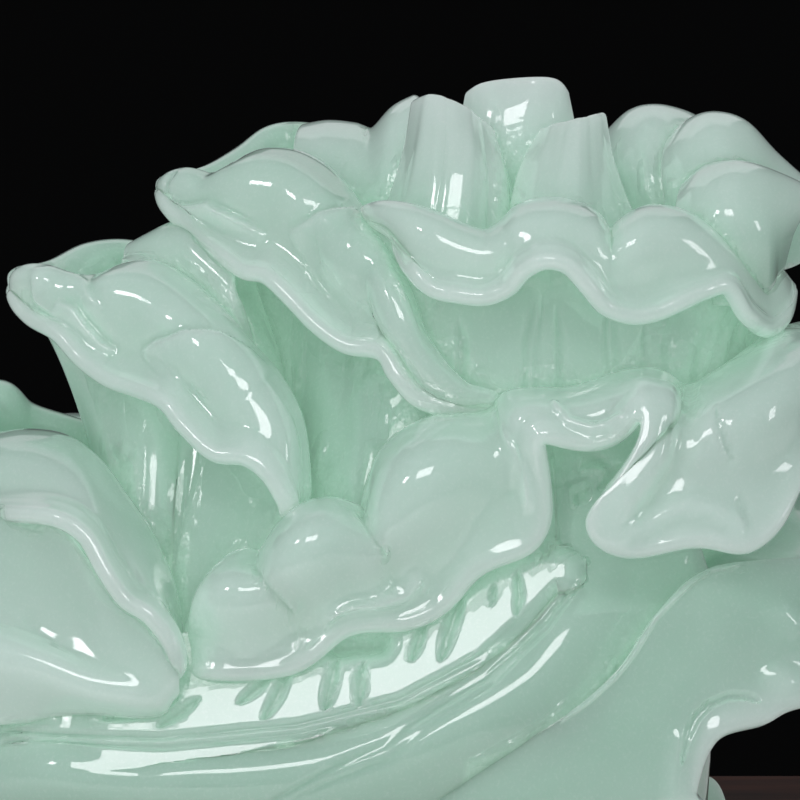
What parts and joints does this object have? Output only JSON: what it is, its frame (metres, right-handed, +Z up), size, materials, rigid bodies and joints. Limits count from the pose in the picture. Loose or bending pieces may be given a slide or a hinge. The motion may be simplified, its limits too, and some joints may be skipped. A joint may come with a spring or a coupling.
{
  "type": "carved jade cabbage on a hardwood stand",
  "caption": "Pale green carved jade cabbage with rolled, ruffled leaves round a standing heart, lying stalk end left on a low footed hardwood stand that it lifts off.",
  "frame": {"origin": "middle of the whole object's footprint, on the table under the stand", "axes": "+Z up, +X to the right along the length, from the stalk end to the leaf tips, and the viewer at -Y"},
  "size_m": [0.3623, 0.236, 0.2901],
  "materials": {
    "jade": "polished translucent pale green jade, paler at the thin rims",
    "rosewood": "dark red-brown hardwood, waxed",
    "felt": "dark green felt"
  },
  "bodies": {
    "stand": {"stand_pad_front_left": "felt", "stand_pad_front_right": "felt", "stand_pad_rear_right": "felt", "stand_pad_rear_left": "felt", "stand_foot_front_left": "rosewood", "stand_foot_front_right": "rosewood", "stand_foot_rear_right": "rosewood", "stand_foot_rear_left": "rosewood", "stand_apron_front": "rosewood", "stand_apron_right": "rosewood", "stand_apron_rear": "rosewood", "stand_apron_left": "rosewood", "stand_waist": "rosewood", "stand_top": "rosewood"},
    "carving": {"heart_block": "jade", "base_leaf": "jade", "root_stub": "jade", "heart_leaf_left": "jade", "heart_leaf_right": "jade", "heart_leaf_back": "jade", "crown_leaf_front": "jade", "crown_leaf_right": "jade", "crown_leaf_right_inner": "jade", "crown_leaf_back_right": "jade", "crown_leaf_back_left": "jade", "crown_leaf_rear": "jade", "shoulder_leaf_left": "jade", "shoulder_leaf_back_left": "jade", "shoulder_leaf_rear_left": "jade", "inner_leaf_left": "jade", "side_leaf_left": "jade", "side_leaf_back_left": "jade", "side_leaf_rear_left": "jade", "low_leaf_left": "jade", "low_leaf_lip": "jade", "low_leaf_back_left": "jade", "low_leaf_rear_left": "jade", "middle_leaf_front": "jade", "middle_leaf_rear": "jade", "end_leaf_right": "jade", "outer_leaf_front": "jade", "outer_leaf_right": "jade", "outer_leaf_rear_right": "jade", "outer_leaf_rear": "jade"}
  },
  "joints": [
    {"name": "carving_lift", "type": "slide", "parent": "stand", "child": "carving", "axis": [0, 0, 1], "range_m": [0, 0.08]}
  ]
}
